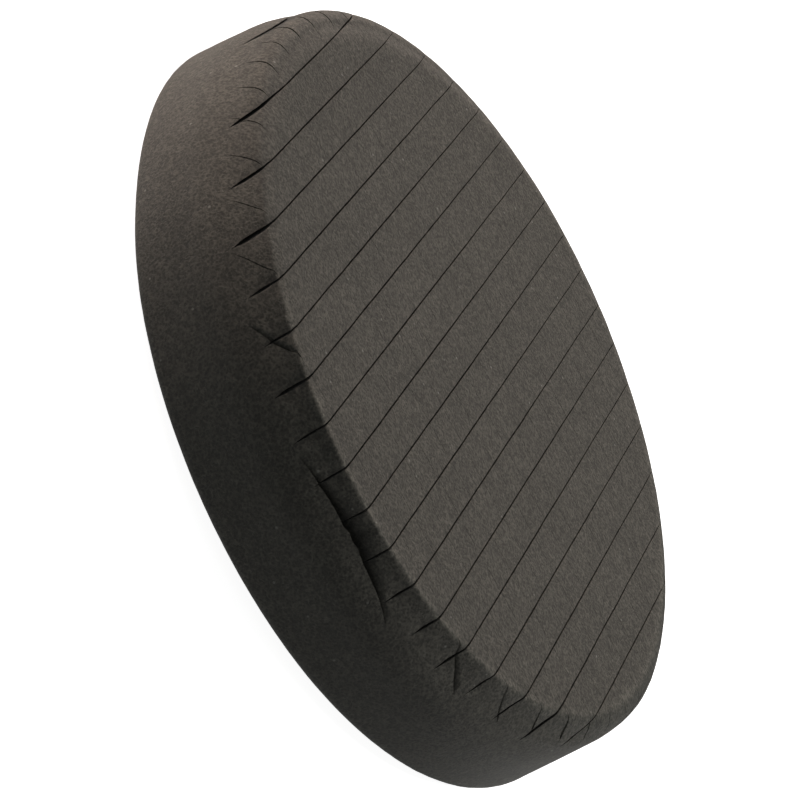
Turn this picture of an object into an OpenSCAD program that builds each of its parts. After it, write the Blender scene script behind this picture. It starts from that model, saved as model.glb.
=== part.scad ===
// Foam polishing pad for a rotary or dual-action polisher.
// A bevelled disc of open-cell foam, slit in a square grid on its working face, with a
// hook-and-loop backing laminated to its back. The pad's axis is Z and the working face
// looks up. The origin is at the centre of the loop face, which is the face that the
// machine's backing plate grips. All sizes are in millimetres.

/* [Foam] */
// Widest diameter of the foam
pad_d = 150; // [100:1:180]
// Thickness of the foam
foam_t = 25.5; // [22:0.5:32]
// Width of the shoulder seen from above, from the widest point in to the edge of the flat face
shoulder_w = 6; // [3:0.5:8]
// Height above the foam's back at which the flank starts to round into the shoulder
shoulder_start = 12.5; // [8:0.5:14]
// Radius of the rounded edge at the foam's back
back_edge_r = 1.8; // [0.5:0.1:3]

/* [Slits] */
// Distance from one slit to the next, the same in both directions
slit_pitch = 8; // [6:0.5:14]
// Depth of the slits below the working face
slit_depth = 6; // [3:0.5:9]
// Width of the knife cut
slit_w = 0.3; // [0.2:0.05:0.6]
// Distance from the pad's axis to the nearest slit of the set that runs front to back
slit_x_offset = -1.1; // [-3:0.1:3]
// Distance from the pad's axis to the nearest slit of the set that runs side to side
slit_y_offset = 1.7; // [-3:0.1:3]

/* [Backing] */
// How far the backing's edge is set in from the foam's widest point
backing_inset = 6; // [3:0.5:15]
// Thickness of the adhesive film between the foam and the knit
film_t = 0.2; // [0.1:0.05:0.5]
// Thickness of the knit ground cloth
knit_t = 0.5; // [0.3:0.1:1]
// Height of the loop pile that the hooks grip
pile_t = 1.3; // [0.8:0.1:2.5]

/* [Hidden] */
$fn = 96;

// Heights of the layers, from the loop face up
knit_z = pile_t;
film_z = knit_z + knit_t;
foam_z = film_z + film_t;

// The shoulder is one arc: upright where it meets the flank, and cut off by the face
pad_r = pad_d / 2;
shoulder_h = foam_t - shoulder_start;
shoulder_r = (shoulder_w * shoulder_w + shoulder_h * shoulder_h) / (2 * shoulder_w);
shoulder_x = pad_r - shoulder_r;

// The backing is one round stack of layers, a little smaller than the foam
backing_d = pad_d - 2 * backing_inset;

// Blades reach past the foam's outline and its face by this much
overcut = 1;
blade_l = pad_d + 2 * overcut;

// Half section of the foam, with its back on the X axis and the pad's axis on the Y axis
module foam_section() {
    difference() {
        intersection() {
            square([pad_r, foam_t]);
            union() {
                square([pad_r, shoulder_start]);
                square([shoulder_x, foam_t]);
                translate([shoulder_x, shoulder_start])
                    circle(r = shoulder_r);
            }
        }
        back_edge_corner();
    }
}

// What the rounded back edge takes off the section's outer bottom corner
module back_edge_corner() {
    translate([pad_r - back_edge_r, 0])
        difference() {
            translate([0, -overcut])
                square([back_edge_r + overcut, back_edge_r + overcut]);
            translate([0, back_edge_r])
                circle(r = back_edge_r);
        }
}

// One set of parallel knife blades across the face, standing at x = offset + n * pitch
module blade_row(offset) {
    first = ceil((-pad_r - offset) / slit_pitch);
    last = floor((pad_r - offset) / slit_pitch);
    for (n = [first : last])
        translate([offset + n * slit_pitch - slit_w / 2, -blade_l / 2, foam_t - slit_depth])
            cube([slit_w, blade_l, slit_depth + overcut]);
}

// Disc of one layer of the backing
module backing_layer(z, thickness) {
    translate([0, 0, z])
        cylinder(d = backing_d, h = thickness);
}

// Foam: cuts the surface into square tufts that flex on their own and hold polish
module foam_block() {
    color([0.25, 0.24, 0.22])
        translate([0, 0, foam_z])
            difference() {
                rotate_extrude()
                    foam_section();
                blade_row(slit_x_offset);
                rotate([0, 0, 90])
                    blade_row(slit_y_offset);
            }
}

// Heat-set adhesive that laminates the backing to the foam
module adhesive_film() {
    color([0.55, 0.52, 0.45])
        backing_layer(film_z, film_t);
}

// Flat knit ground that carries the loops
module knit_backing() {
    color([0.16, 0.16, 0.17])
        backing_layer(knit_z, knit_t);
}

// Brushed loops that the hooks of a backing plate grip
module loop_pile() {
    color([0.22, 0.22, 0.23])
        backing_layer(0, pile_t);
}

foam_block();
adhesive_film();
knit_backing();
loop_pile();
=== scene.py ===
import math
import random

import bpy
import numpy as np
from mathutils import Matrix, Vector, noise


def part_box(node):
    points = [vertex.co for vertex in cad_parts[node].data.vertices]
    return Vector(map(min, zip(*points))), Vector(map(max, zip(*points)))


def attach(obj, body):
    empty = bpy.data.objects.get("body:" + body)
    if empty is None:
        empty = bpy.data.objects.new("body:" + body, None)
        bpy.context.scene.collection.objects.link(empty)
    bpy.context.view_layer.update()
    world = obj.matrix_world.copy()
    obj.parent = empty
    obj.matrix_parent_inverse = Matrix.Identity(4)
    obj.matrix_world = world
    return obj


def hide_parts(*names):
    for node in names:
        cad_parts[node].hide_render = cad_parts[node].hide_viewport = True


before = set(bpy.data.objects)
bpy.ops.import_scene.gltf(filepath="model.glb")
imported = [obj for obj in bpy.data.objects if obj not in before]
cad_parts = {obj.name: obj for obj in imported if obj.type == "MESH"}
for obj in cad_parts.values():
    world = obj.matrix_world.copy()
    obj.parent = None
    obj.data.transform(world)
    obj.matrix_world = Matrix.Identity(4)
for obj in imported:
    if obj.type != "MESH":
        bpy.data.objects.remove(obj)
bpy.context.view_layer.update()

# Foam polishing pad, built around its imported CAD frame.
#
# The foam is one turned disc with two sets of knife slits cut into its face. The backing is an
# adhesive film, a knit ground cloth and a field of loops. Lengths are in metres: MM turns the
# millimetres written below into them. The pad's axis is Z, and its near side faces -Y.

MM = 0.001

# ---------------------------------------------------------------- sizes

foam_low, foam_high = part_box("foam_block")
film_low, film_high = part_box("adhesive_film")
knit_low, knit_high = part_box("knit_backing")
pile_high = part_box("loop_pile")[1]

PAD_R = foam_high[0]
BACK_Z = foam_low[2]
FACE_Z = foam_high[2]
BACKING_R = pile_high[0]

# The foam's outline: the CAD model's, but with a little more rounding at the back edge, and
# with a side that was cut by hand. Angles go round the pad from the near side towards +X.
BACK_EDGE_R = 2.2 * MM
SHOULDER_W = 6 * MM
SHOULDER_H = 13 * MM
SHOULDER_Z = FACE_Z - SHOULDER_H
SHOULDER_R = (SHOULDER_W**2 + SHOULDER_H**2) / (2 * SHOULDER_W)
SHOULDER_X = PAD_R - SHOULDER_R
FACE_R = PAD_R - SHOULDER_W
CREASE = 0.7 * MM          # how far the rounded crease reaches to each side
FLANK_IN = 0.35 * MM       # how far the flank lies inside the CAD outline
NEAR_LEAN = 1.2 * MM       # how far the near side's shoulder is cut inside that outline
FAR_BULGE = 1.8 * MM       # how far the rest of the shoulder stands outside it, near the crease
TUCK = 1.15 * MM           # how far the back edge is drawn in at the left
TUCK_ANGLE = -1.12
TUCK_SPREAD = 0.33
TUCK_HEIGHT = 8 * MM
RIGHT_SLOPE = 0.10         # how far the right end's straight side leans in per unit of height
RIGHT_ANGLE = 1.33
RIGHT_SPREAD = 0.45
STRAIGHT_FROM = BACK_Z + 1 * MM
STRAIGHT_TO = 22 * MM      # from here to the next height it goes over into the crease
STRAIGHT_END = 25 * MM
SCALLOP = 0.25 * MM        # how far the shoulder dips where a slit opens
SOFT_CORNER = 0.45 * MM    # how far the crease is worn down at the left
FOAM_SIDES = 480
LAYER_SIDES = 420          # sides of each disc of the backing
HAIR = 0.01 * MM           # a length too small to see, for comparing places

# The slits
PITCH = 8 * MM
SLIT_DEPTH = 6 * MM
TIP_Z = FACE_Z - SLIT_DEPTH
ALONG_Y_OFFSET = -1.1 * MM
ALONG_X_OFFSET = 1.7 * MM
NEAR_RISE = 1.0 * MM       # the slits that meet the near side square on are this much shallower
BARE_RIM = 1.5 * MM        # no slit lies further out than this far inside the rim
NARROWEST = 0.012 * MM     # a blade never gets thinner than this

# The loops of the backing
LOOP_SPACING = 1.82 * MM
LOOP_STRAND = 0.09 * MM    # radius of the strand
LOOP_STEPS = 6
LOOP_SEED = 7
ROW_SPACING = 0.866        # distance of the rows of a triangular grid, for a spacing of 1


def blend(low, high, x):
    """Goes smoothly from 0 at low to 1 at high. x is a number or an array."""
    t = np.clip((x - low) / (high - low), 0.0, 1.0)
    return t * t * (3 - 2 * t)


# ---------------------------------------------------------------- mesh helpers

def link_to_scene(thing):
    bpy.context.scene.collection.objects.link(thing)


def mesh_object(name, verts, faces):
    mesh = bpy.data.meshes.new(name)
    mesh.from_pydata([tuple(v) for v in verts], [], faces)
    mesh.validate()
    mesh.update()
    piece = bpy.data.objects.new(name, mesh)
    link_to_scene(piece)
    return piece


def smooth(piece):
    """Smooth shading on all faces."""
    for polygon in piece.data.polygons:
        polygon.use_smooth = True


def shade(piece, sharp_angle):
    """Smooth shading, with an edge left sharp where its faces meet at more than sharp_angle."""
    smooth(piece)
    piece.data.set_sharp_from_angle(angle=math.radians(sharp_angle))


def turned(name, outline, sides, radius_change):
    """A closed solid of revolution, whose outline runs from one point on the axis to another.

    radius_change(angle, radius, z) is added to the radius.
    """
    inner = outline[1:-1]
    verts = [(0, 0, outline[0][1])]
    for radius, z in inner:
        for side in range(sides):
            angle = 2 * math.pi * side / sides
            r = radius + radius_change(angle, radius, z)
            verts.append((r * math.sin(angle), -r * math.cos(angle), z))
    verts.append((0, 0, outline[-1][1]))
    last = len(verts) - 1
    faces = []
    for side in range(sides):
        after = (side + 1) % sides
        faces.append((0, 1 + after, 1 + side))
        for ring in range(len(inner) - 1):
            low, high = 1 + ring * sides, 1 + (ring + 1) * sides
            faces.append((low + side, low + after, high + after, high + side))
        top = 1 + (len(inner) - 1) * sides
        faces.append((top + side, top + after, last))
    return mesh_object(name, verts, faces)


def arc(centre_x, centre_z, radius, start, end, steps):
    """Points of an arc from one angle to another, in degrees."""
    angles = np.linspace(math.radians(start), math.radians(end), steps)
    return [(centre_x + radius * math.cos(a), centre_z + radius * math.sin(a)) for a in angles]


def lofted(rings):
    """A closed solid through rings of points, all with the same number of points."""
    count = len(rings[0])
    verts = [point for ring in rings for point in ring]
    faces = [tuple(range(count)), tuple(reversed(range(len(verts) - count, len(verts))))]
    for ring in range(len(rings) - 1):
        low, high = ring * count, (ring + 1) * count
        for i in range(count):
            after = (i + 1) % count
            faces.append((low + after, low + i, high + i, high + after))
    return verts, faces


# ---------------------------------------------------------------- foam

def foam_outline():
    """Radius and height of each ring, from the middle of the back to the middle of the face."""
    crease_angle = math.degrees(math.asin(SHOULDER_H / SHOULDER_R))
    back = [(r, BACK_Z) for r in np.linspace(0, PAD_R - BACK_EDGE_R, 10)[:-1]]
    edge = arc(PAD_R - BACK_EDGE_R, BACK_Z + BACK_EDGE_R, BACK_EDGE_R, -90, 0, 7)
    flank = [(PAD_R, z) for z in np.linspace(BACK_Z + BACK_EDGE_R, SHOULDER_Z, 10)[1:-1]]
    shoulder = arc(SHOULDER_X, SHOULDER_Z, SHOULDER_R, 0, crease_angle, 20)
    shoulder = [p for p in shoulder if math.dist(p, (FACE_R, FACE_Z)) > CREASE]
    start, corner = Vector(shoulder[-1]), Vector((FACE_R, FACE_Z))
    end = Vector((FACE_R - CREASE, FACE_Z))
    crease = [tuple(start * (1 - t)**2 + corner * 2 * t * (1 - t) + end * t * t)
              for t in (0.2, 0.4, 0.6, 0.8, 1.0)]
    face = [(r, FACE_Z) for r in np.linspace(FACE_R - CREASE, 0, 46)[1:]]
    return back + edge + flank + shoulder + crease + face


def near_angle(angle, middle, spread):
    """One at the middle angle round the pad, and nothing well away from it."""
    if angle > math.pi:
        angle -= 2 * math.pi
    return math.exp(-((angle - middle) / spread)**2)


def outline_change(angle, radius, z):
    """How much further out than the CAD outline the hand-cut side stands, round the pad."""
    if radius < FACE_R - CREASE - HAIR:
        return 0
    change = side_change(angle, z)
    above = max(z - SHOULDER_Z, 0)
    cad_radius = SHOULDER_X + math.sqrt(SHOULDER_R**2 - above**2)
    straight = PAD_R - RIGHT_SLOPE * max(z - STRAIGHT_FROM, 0) - cad_radius
    weight = near_angle(angle, RIGHT_ANGLE, RIGHT_SPREAD)
    weight *= 1 - blend(STRAIGHT_TO, STRAIGHT_END, z)
    return change + (straight - change) * weight


def side_change(angle, z):
    """The same as outline_change, but without the straight side at the right end."""
    if z < SHOULDER_Z:
        low = max(1 - (z - BACK_Z) / TUCK_HEIGHT, 0)
        left = near_angle(angle, TUCK_ANGLE, TUCK_SPREAD)
        return -FLANK_IN * blend(0, 2 * MM, z - BACK_Z) - TUCK * left * low**1.5
    up = min((z - SHOULDER_Z) / SHOULDER_H, 1)
    far = blend(0.05, 1, (0.95 - math.cos(angle)) / 1.05)
    near_shape = -NEAR_LEAN * math.sin(math.pi * up**2.6)
    far_shape = FAR_BULGE * blend(0.45, 0.95, up) * (1 - up**16)
    return near_shape * (1 - far) + far_shape * far - FLANK_IN * (1 - blend(0.1, 0.9, up))


def shoulder_radius(angle, z):
    """Radius of the hand-cut shoulder at one height and angle."""
    arc_radius = SHOULDER_X + math.sqrt(SHOULDER_R**2 - (z - SHOULDER_Z)**2)
    return arc_radius + outline_change(angle, PAD_R, z)


# The shoulder's radius at these heights, for each of these angles round the pad
HEIGHTS = np.linspace(TIP_Z - 4 * MM, FACE_Z, 60)
ANGLES = np.linspace(-math.pi, math.pi, 121)
SHOULDER_RADII = np.array([[shoulder_radius(angle, z) for z in HEIGHTS] for angle in ANGLES])


def surface_height(x, y):
    """Height of the foam's face or shoulder over each point, down to below the slits' tips."""
    x, y = np.atleast_1d(x), np.atleast_1d(y)
    radius = np.hypot(x, y)
    turn = (np.arctan2(x, -y) + math.pi) / (2 * math.pi)
    radii = SHOULDER_RADII[np.rint(turn * (len(ANGLES) - 1)).astype(int)]
    below = np.clip((radii > radius[:, None]).sum(axis=1), 1, len(HEIGHTS) - 1)
    rows = np.arange(len(x))
    outer, inner = radii[rows, below - 1], radii[rows, below]
    part = np.clip((outer - radius) / np.maximum(outer - inner, 1e-6), 0, 1)
    return HEIGHTS[below - 1] + part * (HEIGHTS[1] - HEIGHTS[0])


def nearest_slit(value, offset):
    """Distance from the nearest slit of the set that stands at offset + n * PITCH."""
    return abs((value - offset + PITCH / 2) % PITCH - PITCH / 2)


def openness(x, y):
    """The slits gape on the near and left shoulder, and hardly at all on the far side."""
    toward_far = (0.95 * y + (0.6 if x > 0 else 0.2) * x) / PAD_R
    return 1 - 0.85 * blend(-0.1, 0.4, toward_far)


def roughen_foam(piece):
    """Small unevenness of cut foam, and the shoulder's dips where the slits open."""
    for vertex in piece.data.vertices:
        p = vertex.co
        radius = math.hypot(p.x, p.y)
        if p.z < BACK_Z + HAIR and radius < BACKING_R + MM:
            continue
        at_side = radius > FACE_R - 2 * CREASE
        outward = Vector((p.x, p.y, 0)).normalized() if at_side else Vector()
        normal = (outward + Vector((0, 0, 1)) * (p.z > FACE_Z - 2 * MM)).normalized()
        slow = noise.noise(p / (14 * MM))
        quick = noise.noise(p / (2.5 * MM) + Vector((7, 3, 1)))
        p += normal * (0.08 * MM * slow + 0.05 * MM * quick)
        worn = SOFT_CORNER * blend(10 * MM, 55 * MM, -p.x) * (p.z > TIP_Z)
        p.z -= worn * math.exp(-((radius - FACE_R) / (1.5 * MM))**2)
        on_shoulder = blend(TIP_Z, TIP_Z + 3 * MM, p.z) * at_side
        if on_shoulder:
            dip = math.exp(-(nearest_slit(p.x, ALONG_Y_OFFSET) / (1.1 * MM))**2)
            p -= normal * SCALLOP * dip * on_shoulder * openness(p.x, p.y)
        vertex.co = p


class Gape:
    """An outermost slit, which only nicks the shoulder: a lens from one end to the other.

    tip is the height of its deepest line over that of the other slits, so it is less than 0 where
    it cuts deeper. aside is how far it stands from its place in the grid, and slant is how much
    further aside it goes for each unit of its length.
    """

    def __init__(self, widest, start, end, tip, aside, slant):
        self.widest, self.start, self.end = widest, start, end
        self.tip, self.aside, self.slant = tip, aside, slant

    def width(self, s):
        """Width at the place s along the slit."""
        along = (2 * s - self.start - self.end) / (self.end - self.start)
        return self.widest * max(1 - along**2, 0)**0.8


LEFT_NICK = Gape(0.42 * MM, -8 * MM, 24 * MM, -3.2 * MM, -0.2 * MM, 0.085)
NEAR_CRACK = Gape(2.6 * MM, -21 * MM, 15 * MM, -0.8 * MM, -0.4 * MM, 0)


# Of each set of slits: on_face is a slit's width on the face. The mouth is what it opens to on
# the shoulder, between the radii mouth_from and mouth_to. It closes over the height taper above
# its deepest line, and wobble is how far it strays from a straight line. gapes holds the
# outermost slits that are shaped on their own.

class SlitsAlongY:
    """The last cuts, toward the near side: each stays a little open all along the face."""
    name, offset, turn, seed = "blades_along_y", ALONG_Y_OFFSET, 0, 11
    on_face, wobble = 0.22 * MM, 0.06 * MM
    mouth_from, mouth_to, taper = 66.5 * MM, 70.2 * MM, 3.4 * MM
    gapes = {-9: LEFT_NICK}

    def mouth(self, x):
        return (0.40 + 0.30 * blend(20 * MM, -50 * MM, x)) * MM

    def near_rise(self, x):
        return NEAR_RISE * math.exp(-(x / (30 * MM))**2)

    def open_at(self, x, s):
        return openness(x, s)


class SlitsAlongX:
    """The first cuts, square to the others: nearly closed on the face."""
    name, offset, turn, seed = "blades_along_x", ALONG_X_OFFSET, 90, 53
    on_face, wobble = 0.03 * MM, 0.20 * MM
    mouth_from, mouth_to, taper = 68.0 * MM, 71.5 * MM, 1.8 * MM
    gapes = {-9: NEAR_CRACK}

    def mouth(self, y):
        return (0.40 + 0.6 * blend(-54 * MM, -62 * MM, y)) * MM

    def near_rise(self, y):
        return 0

    def open_at(self, y, s):
        return openness(-s, y)


def blade(slits, offset, mouths, rise, seed, gape):
    """Rings of one knife blade standing at x = offset, as wide as the slit that it leaves.

    mouths are the slit's widths on the shoulder at its low and high ends, and rise makes the
    low end shallower. gape, unless None, takes the place of all these.
    """
    end_length = 11 * MM
    past_rim = 1.5 * MM
    reach = math.sqrt(max((PAD_R - 0.6 * MM)**2 - offset**2, (8 * MM)**2)) + past_rim
    ends = np.arange(0, end_length, 0.6 * MM)
    steps = max(2, int(reach / (1 * MM)))
    middle = np.linspace(-reach + end_length, reach - end_length, steps)
    places = np.concatenate([-reach + ends, middle, reach - ends[::-1]])
    slant = 0
    if gape:
        offset += gape.aside
        slant = gape.slant
        places = np.arange(-30 * MM, 30 * MM, 0.5 * MM)
    heights = surface_height(offset + slant * places, places)
    rings = []
    for s, height in zip(places, heights):
        radius = math.hypot(offset, s)
        wave = noise.noise(Vector((s / (9 * MM), seed, 0)))
        ragged = noise.noise(Vector((s / (1.6 * MM), seed, 5)))
        tip = TIP_Z + rise * blend(66 * MM, 72 * MM, radius) * (s < 0)
        face_width = slits.on_face * (1 - 0.4 * blend(-20 * MM, 60 * MM, s))
        mouth = (mouths[0] if s < 0 else mouths[1]) * slits.open_at(offset, s)
        on_shoulder = blend(slits.mouth_from, slits.mouth_to, radius)
        width = face_width + (mouth - face_width) * on_shoulder
        if gape:
            width = gape.width(s)
            tip = TIP_Z + gape.tip
        height = max(height, tip + 0.3 * MM)
        width *= (1 + 0.25 * ragged) * blend(0, slits.taper, height - tip)
        rings.append(blade_ring(offset + slant * s + slits.wobble * wave, s, width, tip, height))
    return rings


def blade_ring(x, y, width, tip, height):
    """One cross-section of a blade: a wedge that flares into rounded lips at the surface."""
    half = max(width, NARROWEST) / 2
    lip = min(0.22 * MM, 0.8 * half)
    wall = [
        (half + lip, FACE_Z + 1.2 * MM),
        (half + lip, height + 0.05 * MM),
        (half + 0.4 * lip, height - 0.15 * MM),
        (half, height - min(0.5 * MM, 0.35 * (height - tip))),
        (0.55 * half, height - 0.5 * (height - tip)),
    ]
    left = [(x - out, y, z) for out, z in wall]
    right = [(x + out, y, z) for out, z in reversed(wall)]
    return left + [(x, y, tip)] + right


def blade_row(slits):
    """All blades of one set as one object."""
    draw = random.Random(slits.seed)
    edge = PAD_R - BARE_RIM
    first = math.ceil((-edge - slits.offset) / PITCH)
    last = math.floor((edge - slits.offset) / PITCH)
    all_verts, all_faces = [], []
    for n in range(first, last + 1):
        place = slits.offset + n * PITCH
        mouths = [slits.mouth(place) * draw.uniform(0.7, 1.25) for _ in range(2)]
        rise = draw.uniform(-0.8 * MM, 0.6 * MM) + slits.near_rise(place)
        rings = blade(slits, place, mouths, rise, slits.seed + n, slits.gapes.get(n))
        verts, faces = lofted(rings)
        all_faces += [tuple(i + len(all_verts) for i in face) for face in faces]
        all_verts += verts
    row = mesh_object(slits.name, all_verts, all_faces)
    row.data.transform(Matrix.Rotation(math.radians(slits.turn), 4, "Z"))
    return row


def cut(piece, tool):
    """Takes the tool's solid away from the piece, and deletes the tool."""
    modifier = piece.modifiers.new("cut", "BOOLEAN")
    modifier.operation = "DIFFERENCE"
    modifier.solver = "MANIFOLD"
    modifier.object = tool
    graph = bpy.context.evaluated_depsgraph_get()
    result = bpy.data.meshes.new_from_object(piece.evaluated_get(graph))
    piece.modifiers.clear()
    piece.data = result
    bpy.data.objects.remove(tool)


def mark_for_colour(piece):
    """Stores for each vertex how deep in a slit it lies, for painted shade there, and how near
    the left crease it lies, for a painted highlight along it.
    """
    spots = np.empty(3 * len(piece.data.vertices), dtype=np.float32)
    piece.data.vertices.foreach_get("co", spots)
    x, y, z = spots.reshape(-1, 3).T.astype(float)
    # Depth below the foam's surface, which drives the painted shade inside the slits.
    depth = np.where(z > TIP_Z - 3 * MM, surface_height(x, y) - z, 0)
    from_crease = np.hypot(x, y) - FACE_R + 0.6 * MM
    # Weight of the painted highlight: a band about 1 mm wide along the crease, on the left side
    # only.
    rim = np.exp(-(from_crease / (1.0 * MM))**2) * (z > FACE_Z - 1.5 * MM)
    rim *= blend(-60 * MM, -10 * MM, x)
    for name, values in (("cut_depth", depth), ("painted_crease_highlight", rim)):
        stored = piece.data.attributes.new(name, "FLOAT", "POINT")
        stored.data.foreach_set("value", np.maximum(values, 0).astype(np.float32))


def foam_block():
    """The whole foam pad: turned, roughened, cut and marked for its material."""
    piece = turned("foam_pad", foam_outline(), FOAM_SIDES, outline_change)
    roughen_foam(piece)
    cut(piece, blade_row(SlitsAlongY()))
    cut(piece, blade_row(SlitsAlongX()))
    mark_for_colour(piece)
    shade(piece, 40)
    return piece


# ---------------------------------------------------------------- backing

def backing_disc(name, low, high, radius, bead, uneven, seed):
    """A thin round layer between two heights, with a rounded, slightly uneven cut edge.

    bead is how much further than a half round the edge bulges out.
    """
    half = (high - low) / 2
    inner = list(np.linspace(0, radius - half, 24))
    outline = [(r, low) for r in inner[:-1]]
    for a in np.radians(np.linspace(-90, 90, 7)):
        r = radius - half + (half + bead) * math.cos(a)
        outline.append((r, low + half + half * math.sin(a)))
    outline += [(r, high) for r in reversed(inner[:-1])]

    def change(angle, r, z):
        if r < radius - 2 * half:
            return 0
        return uneven * noise.noise(Vector((40 * math.cos(angle), 40 * math.sin(angle), seed)))

    piece = turned(name, outline, LAYER_SIDES, change)
    shade(piece, 60)
    return piece


def loop_points(centre, yaw, width, height, lean):
    """One loop: three points round the strand at each step from one foot to the other."""
    along = Vector((math.cos(yaw), math.sin(yaw), 0))
    across = Vector((-along.y, along.x, 0))
    points = []
    for step in range(LOOP_STEPS + 1):
        turn = math.pi * step / LOOP_STEPS
        drop = math.sin(turn)**0.75
        point = centre - along * width * math.cos(turn) + across * lean * drop
        point.z -= height * drop
        out = -along * math.cos(turn) - Vector((0, 0, 1)) * math.sin(turn)
        for side in range(3):
            a = 2 * math.pi * side / 3
            points.append(point + (out * math.cos(a) + across * math.sin(a)) * LOOP_STRAND)
    return points


def loop_faces(base):
    """The faces of a loop whose points start at base, closed at both feet."""
    faces = []
    for step in range(LOOP_STEPS):
        low = base + 3 * step
        for side in range(3):
            after = (side + 1) % 3
            faces.append((low + side, low + after, low + 3 + after, low + 3 + side))
    last = base + 3 * LOOP_STEPS
    return faces + [(base + 2, base + 1, base), (last, last + 1, last + 2)]


def loops():
    """The loops that the hooks grip: thin three-sided strands, knitted in at both ends."""
    draw = random.Random(LOOP_SEED)
    top = pile_high[2] + 0.1 * MM
    reach = pile_high[2] - 0.12 * MM
    verts, faces = [], []
    rows = int(BACKING_R / (LOOP_SPACING * ROW_SPACING)) + 1
    for row in range(-rows, rows + 1):
        for column in range(-rows, rows + 1):
            x = (column + 0.5 * (row % 2)) * LOOP_SPACING
            x += draw.uniform(-0.35, 0.35) * LOOP_SPACING
            y = row * LOOP_SPACING * ROW_SPACING + draw.uniform(-0.35, 0.35) * LOOP_SPACING
            yaw = draw.uniform(0, math.pi)
            height = reach * draw.uniform(0.72, 1)
            width = draw.uniform(0.4, 0.65) * MM
            lean = draw.uniform(-0.35, 0.35) * MM
            if math.hypot(x, y) > BACKING_R - 0.9 * MM:
                continue
            faces += loop_faces(len(verts))
            verts += loop_points(Vector((x, y, top)), yaw, width, height, lean)
    piece = mesh_object("loop_field", verts, faces)
    smooth(piece)
    return piece


# ---------------------------------------------------------------- materials

class Nodes:
    """A short way to write a node tree."""

    def __init__(self, name):
        self.material = bpy.data.materials.new(name)
        self.material.use_nodes = True
        self.tree = self.material.node_tree
        self.shader = self.tree.nodes["Principled BSDF"]
        coords = self.tree.nodes.new("ShaderNodeTexCoord")
        self.place = coords.outputs["Object"]

    def link(self, out, into):
        self.tree.links.new(out, into)

    def put(self, value, into):
        """Links an output to a socket, or sets the socket to a number or colour."""
        if isinstance(value, bpy.types.NodeSocket):
            self.link(value, into)
        else:
            into.default_value = value

    def add(self, kind, settings=None, **inputs):
        node = self.tree.nodes.new(kind)
        for key, value in (settings or {}).items():
            setattr(node, key, value)
        for key, value in inputs.items():
            self.put(value, node.inputs[key.replace("_", " ")])
        return node

    def noise(self, size, detail=2.0, roughness=0.5, swirl=0.0):
        """Cloudy noise whose blobs are about size across. Swirl draws them out into threads."""
        return self.add("ShaderNodeTexNoise", Vector=self.place, Scale=1 / size, Detail=detail,
                        Roughness=roughness, Distortion=swirl).outputs["Fac"]

    def cells(self, size):
        """Distance from the centre of cells that are about size across."""
        return self.add("ShaderNodeTexVoronoi", Vector=self.place,
                        Scale=1 / size).outputs["Distance"]

    def stored(self, name):
        """A value that is stored with the mesh for each vertex."""
        return self.add("ShaderNodeAttribute", {"attribute_name": name}).outputs["Fac"]

    def spread(self, value, low, high, to_low, to_high):
        """Goes smoothly from to_low, where value is low, to to_high, where it is high."""
        node = self.add("ShaderNodeMapRange", {"interpolation_type": "SMOOTHSTEP"}, Value=value)
        for socket, number in zip(node.inputs[1:5], (low, high, to_low, to_high)):
            socket.default_value = number
        return node.outputs["Result"]

    def maths(self, operation, a, b):
        node = self.add("ShaderNodeMath", {"operation": operation})
        for socket, value in zip(node.inputs, (a, b)):
            self.put(value, socket)
        return node.outputs["Value"]

    def mix(self, factor, a, b, blend_type="MIX"):
        """Colour a where factor is 0, and colour b where it is 1."""
        node = self.add("ShaderNodeMix", {"data_type": "RGBA", "blend_type": blend_type})
        sockets = (node.inputs["Factor"], node.inputs[6], node.inputs[7])
        for socket, value in zip(sockets, (factor, a, b)):
            self.put(value, socket)
        return node.outputs[2]

    def bump(self, height, distance, strength):
        node = self.add("ShaderNodeBump", Height=height, Distance=distance, Strength=strength)
        self.link(node.outputs["Normal"], self.shader.inputs["Normal"])

    def finish(self, colour, roughness, **fixed):
        """Gives the shader its colour and roughness, and the fixed values on its own sockets."""
        self.link(colour, self.shader.inputs["Base Color"])
        self.link(roughness, self.shader.inputs["Roughness"])
        for key, value in fixed.items():
            self.shader.inputs[key.replace("_", " ")].default_value = value
        return self.material


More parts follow.
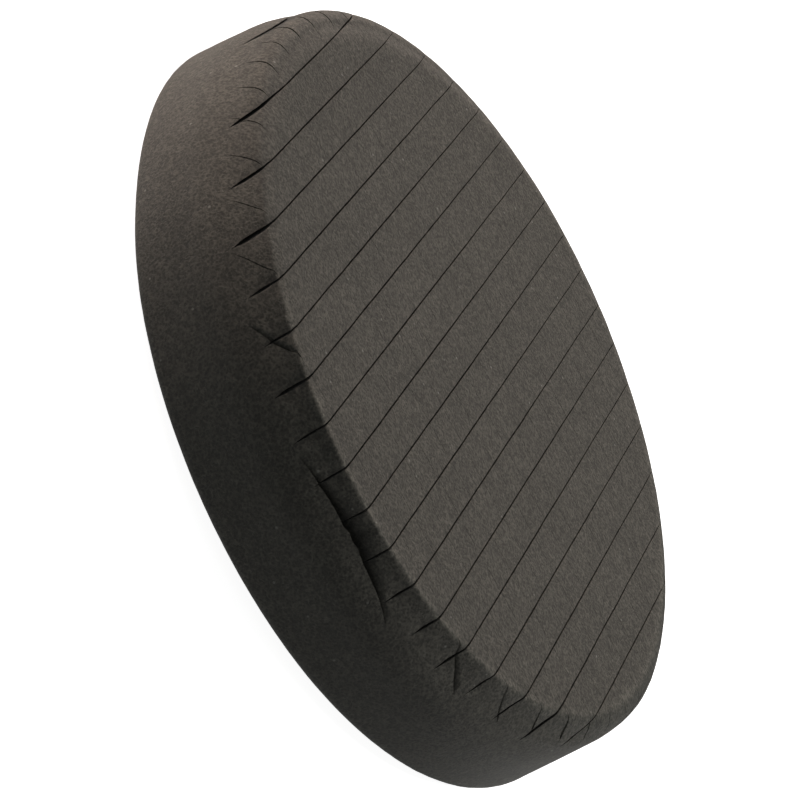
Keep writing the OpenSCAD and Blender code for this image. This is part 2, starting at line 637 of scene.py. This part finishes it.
def foam_material():
    """Open cells: dark pores between struts that catch the light, with painted shade inside the
    slits and a painted highlight along the crease at the left.
    """
    pore_colour = (0.032, 0.0304, 0.0260, 1)
    strut_colour = (0.134, 0.1250, 0.1060, 1)
    thread_colour = (0.190, 0.182, 0.158, 1)
    lint_colour = (0.35, 0.34, 0.31, 1)
    n = Nodes("charcoal_foam")
    pores = n.cells(0.65 * MM)
    threads = n.noise(0.9 * MM, 4, 0.75, 1.0)
    patchy = n.noise(11 * MM, 3, 0.5, 1.0)
    depth = n.stored("cut_depth")
    fuzz_and_painted_highlight = n.stored("painted_crease_highlight")

    cell = n.maths("MULTIPLY", n.spread(pores, 0.15, 0.65, 0.3, 1.0),
                   n.spread(threads, 0.33, 0.67, 0.15, 1.0))
    colour = n.mix(cell, pore_colour, strut_colour)
    strand = n.maths("SUBTRACT", n.noise(2.6 * MM, 2, 0.5, 1.5), 0.5)
    strand = n.spread(n.maths("ABSOLUTE", strand, 0), 0, 0.016, 0.55, 0)
    strand = n.maths("MULTIPLY", strand, n.spread(n.noise(1.9 * MM, 1), 0.48, 0.62, 0, 1))
    colour = n.mix(strand, colour, thread_colour)
    lint = n.spread(n.cells(5 * MM), 0.03, 0.07, 0.55, 0.0)
    colour = n.mix(lint, colour, lint_colour)

    # Random patches of lighter and darker foam, times a painted highlight that makes the left
    # crease up to 1.4 times lighter.
    patches_and_painted_highlight = n.maths("MULTIPLY", n.spread(patchy, 0.3, 0.7, 0.94, 1.06),
                   n.spread(fuzz_and_painted_highlight, 0, 1, 1.0, 1.4))
    # Painted shade: the colour falls to 0.36 of itself from 0.1 mm to 1.6 mm deep inside a slit.
    patches_and_painted_light = n.maths("MULTIPLY", patches_and_painted_highlight, n.spread(depth, 0.1 * MM, 1.6 * MM, 1.0, 0.36))
    grey = n.add("ShaderNodeCombineColor", Red=patches_and_painted_light, Green=patches_and_painted_light, Blue=patches_and_painted_light)
    colour = n.mix(1.0, colour, grey.outputs["Color"], "MULTIPLY")
    n.bump(n.maths("ADD", cell, n.maths("MULTIPLY", patchy, 0.5)), 0.12 * MM, 0.5)
    return n.finish(colour, n.spread(threads, 0.2, 0.8, 0.86, 1.0), Specular_IOR_Level=0.2,
                    Sheen_Weight=0.1, Sheen_Roughness=0.6)


def film_material():
    """Hot-melt film: cloudy and brownish."""
    thick_colour = (0.20, 0.18, 0.14, 1)
    thin_colour = (0.34, 0.31, 0.25, 1)
    n = Nodes("laminating_film")
    cloud = n.noise(1.5 * MM, 4)
    colour = n.mix(n.spread(cloud, 0.3, 0.7, 0, 1), thick_colour, thin_colour)
    n.bump(n.noise(0.7 * MM, 3), 0.05 * MM, 0.5)
    return n.finish(colour, n.spread(cloud, 0.3, 0.7, 0.35, 0.6), Specular_IOR_Level=0.5)


def knit_material():
    """Warp knit: fine wavy columns of stitches, crossed by softer rows."""
    gap_colour = (0.012, 0.012, 0.014, 1)
    stitch_colour = (0.045, 0.045, 0.05, 1)
    fuzz_colour = (0.05, 0.05, 0.054, 1)
    n = Nodes("knit_ground")
    wales = n.add("ShaderNodeTexWave", {"bands_direction": "X"}, Vector=n.place,
                  Scale=1 / (3.4 * MM), Distortion=1.2, Detail=1.0,
                  Detail_Scale=3.0).outputs["Fac"]
    courses = n.add("ShaderNodeTexWave", {"bands_direction": "Y"}, Vector=n.place,
                    Scale=1 / (2.6 * MM), Distortion=2.0, Detail=1.0).outputs["Fac"]
    weave = n.maths("MULTIPLY", wales, n.spread(courses, 0, 1, 0.5, 1))
    fuzz_and_painted_highlight = n.noise(3 * MM, 4)
    colour = n.mix(weave, gap_colour, stitch_colour)
    colour = n.mix(n.spread(fuzz_and_painted_highlight, 0.35, 0.7, 0, 0.35), colour, fuzz_colour)
    n.bump(weave, 0.12 * MM, 0.7)
    return n.finish(colour, n.spread(fuzz_and_painted_highlight, 0.2, 0.8, 0.7, 0.9), Sheen_Weight=0.3,
                    Sheen_Roughness=0.5)


def loop_material():
    """Nylon strands with a soft sheen, a little lighter where they are brushed."""
    dark_colour = (0.035, 0.035, 0.039, 1)
    brushed_colour = (0.085, 0.085, 0.092, 1)
    glint_colour = (0.13, 0.13, 0.14, 1)
    n = Nodes("nylon_loops")
    tuft = n.noise(5 * MM, 3)
    strand = n.noise(0.4 * MM, 2)
    colour = n.mix(n.spread(tuft, 0.3, 0.7, 0, 1), dark_colour, brushed_colour)
    colour = n.mix(n.spread(strand, 0.4, 0.75, 0, 0.5), colour, glint_colour)
    n.bump(strand, 0.04 * MM, 0.4)
    return n.finish(colour, n.spread(strand, 0.2, 0.8, 0.42, 0.62), Specular_IOR_Level=0.5,
                    Sheen_Weight=0.4, Sheen_Roughness=0.35)


def floor_material():
    """Pale paper that gives off light, so that it comes out white in the picture."""
    n = Nodes("pale_floor")
    paper = n.noise(60 * MM, 4)
    colour = n.mix(paper, (0.90, 0.90, 0.90, 1), (0.93, 0.93, 0.93, 1))
    return n.finish(colour, n.spread(paper, 0, 1, 0.9, 1.0), Specular_IOR_Level=0.1,
                    Emission_Color=(1, 1, 1, 1), Emission_Strength=0.92)


# ---------------------------------------------------------------- camera, floor and lights

def camera():
    """Looks down on the near side from a little to the left.

    It is rolled so that the pad's axis points to the right of the picture.
    """
    azimuth = math.radians(-13.9)
    elevation = math.radians(24.8)
    roll = math.radians(67.1)
    distance = 704 * MM
    aim_right = -3.72 * MM
    aim_up = -2.0 * MM
    back = Vector((math.sin(azimuth) * math.cos(elevation),
                   -math.cos(azimuth) * math.cos(elevation), math.sin(elevation)))
    level = Vector((math.cos(azimuth), math.sin(azimuth), 0))
    right = Matrix.Rotation(roll, 3, back) @ level
    up = back.cross(right)
    middle = Vector((0, 0, (foam_low[2] + foam_high[2]) / 2))
    data = bpy.data.cameras.new("camera")
    data.lens = 168.5
    data.sensor_width = 36
    data.clip_start = 10 * MM
    data.clip_end = 20
    view = bpy.data.objects.new("camera", data)
    place = middle + right * aim_right + up * aim_up + back * distance
    turn = Matrix((right, up, back)).transposed().to_4x4()
    view.matrix_world = Matrix.Translation(place) @ turn
    link_to_scene(view)
    bpy.context.scene.camera = view


def area_light(name, place, size, power, colour):
    """A round soft light that points at the middle of the pad."""
    data = bpy.data.lights.new(name, "AREA")
    data.shape = "DISK"
    data.size = size
    data.energy = power
    data.color = colour
    light = bpy.data.objects.new(name, data)
    light.location = place
    aim = Vector((0, 0, FACE_Z / 2)) - Vector(place)
    light.rotation_euler = aim.to_track_quat("-Z", "Y").to_euler()
    link_to_scene(light)


def fill_light():
    """Dim light from everywhere, which is nearly all that the near flank gets."""
    world = bpy.data.worlds.new("studio")
    world.use_nodes = True
    background = world.node_tree.nodes["Background"]
    background.inputs["Color"].default_value = (0.96, 1.0, 0.98, 1)
    background.inputs["Strength"].default_value = 0.13
    bpy.context.scene.world = world


def pale_floor():
    """A square floor, hidden from diffuse rays so that the pad's near flank stays dark."""
    side = 6.0
    corners = [(-side, -side, 0), (side, -side, 0), (side, side, 0), (-side, side, 0)]
    floor = mesh_object("floor", corners, [(0, 1, 2, 3)])
    floor.data.materials.append(floor_material())
    floor.visible_diffuse = False


def studio():
    """The lights and the floor."""
    fill_light()
    bpy.context.scene.view_settings.view_transform = "Standard"
    area_light("key_over_the_face", place=(0.33, 0.15, 0.50), size=0.25, power=1.62,
               colour=(1.0, 0.99, 0.965))
    area_light("warm_rim_from_behind", place=(-0.62, 0.33, 0.09), size=0.45, power=8.4,
               colour=(1.0, 0.85, 0.775))
    pale_floor()


# ---------------------------------------------------------------- build

def add_piece(piece, material, node):
    """Gives a piece its material, hangs it on the root body, and hides the CAD node that it
    stands for.
    """
    piece.data.materials.clear()
    piece.data.materials.append(material)
    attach(piece, "root")
    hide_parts(node)


camera()
studio()

foam = foam_block()
add_piece(foam, foam_material(), "foam_block")

film = backing_disc("glue_film", film_low[2], film_high[2], radius=BACKING_R - 0.2 * MM,
                    bead=0.25 * MM, uneven=0.3 * MM, seed=3)
add_piece(film, film_material(), "adhesive_film")

knit = backing_disc("knit_ground_cloth", knit_low[2], knit_high[2], radius=BACKING_R,
                    bead=0, uneven=0.12 * MM, seed=9)
add_piece(knit, knit_material(), "knit_backing")

field = loops()
add_piece(field, loop_material(), "loop_pile")
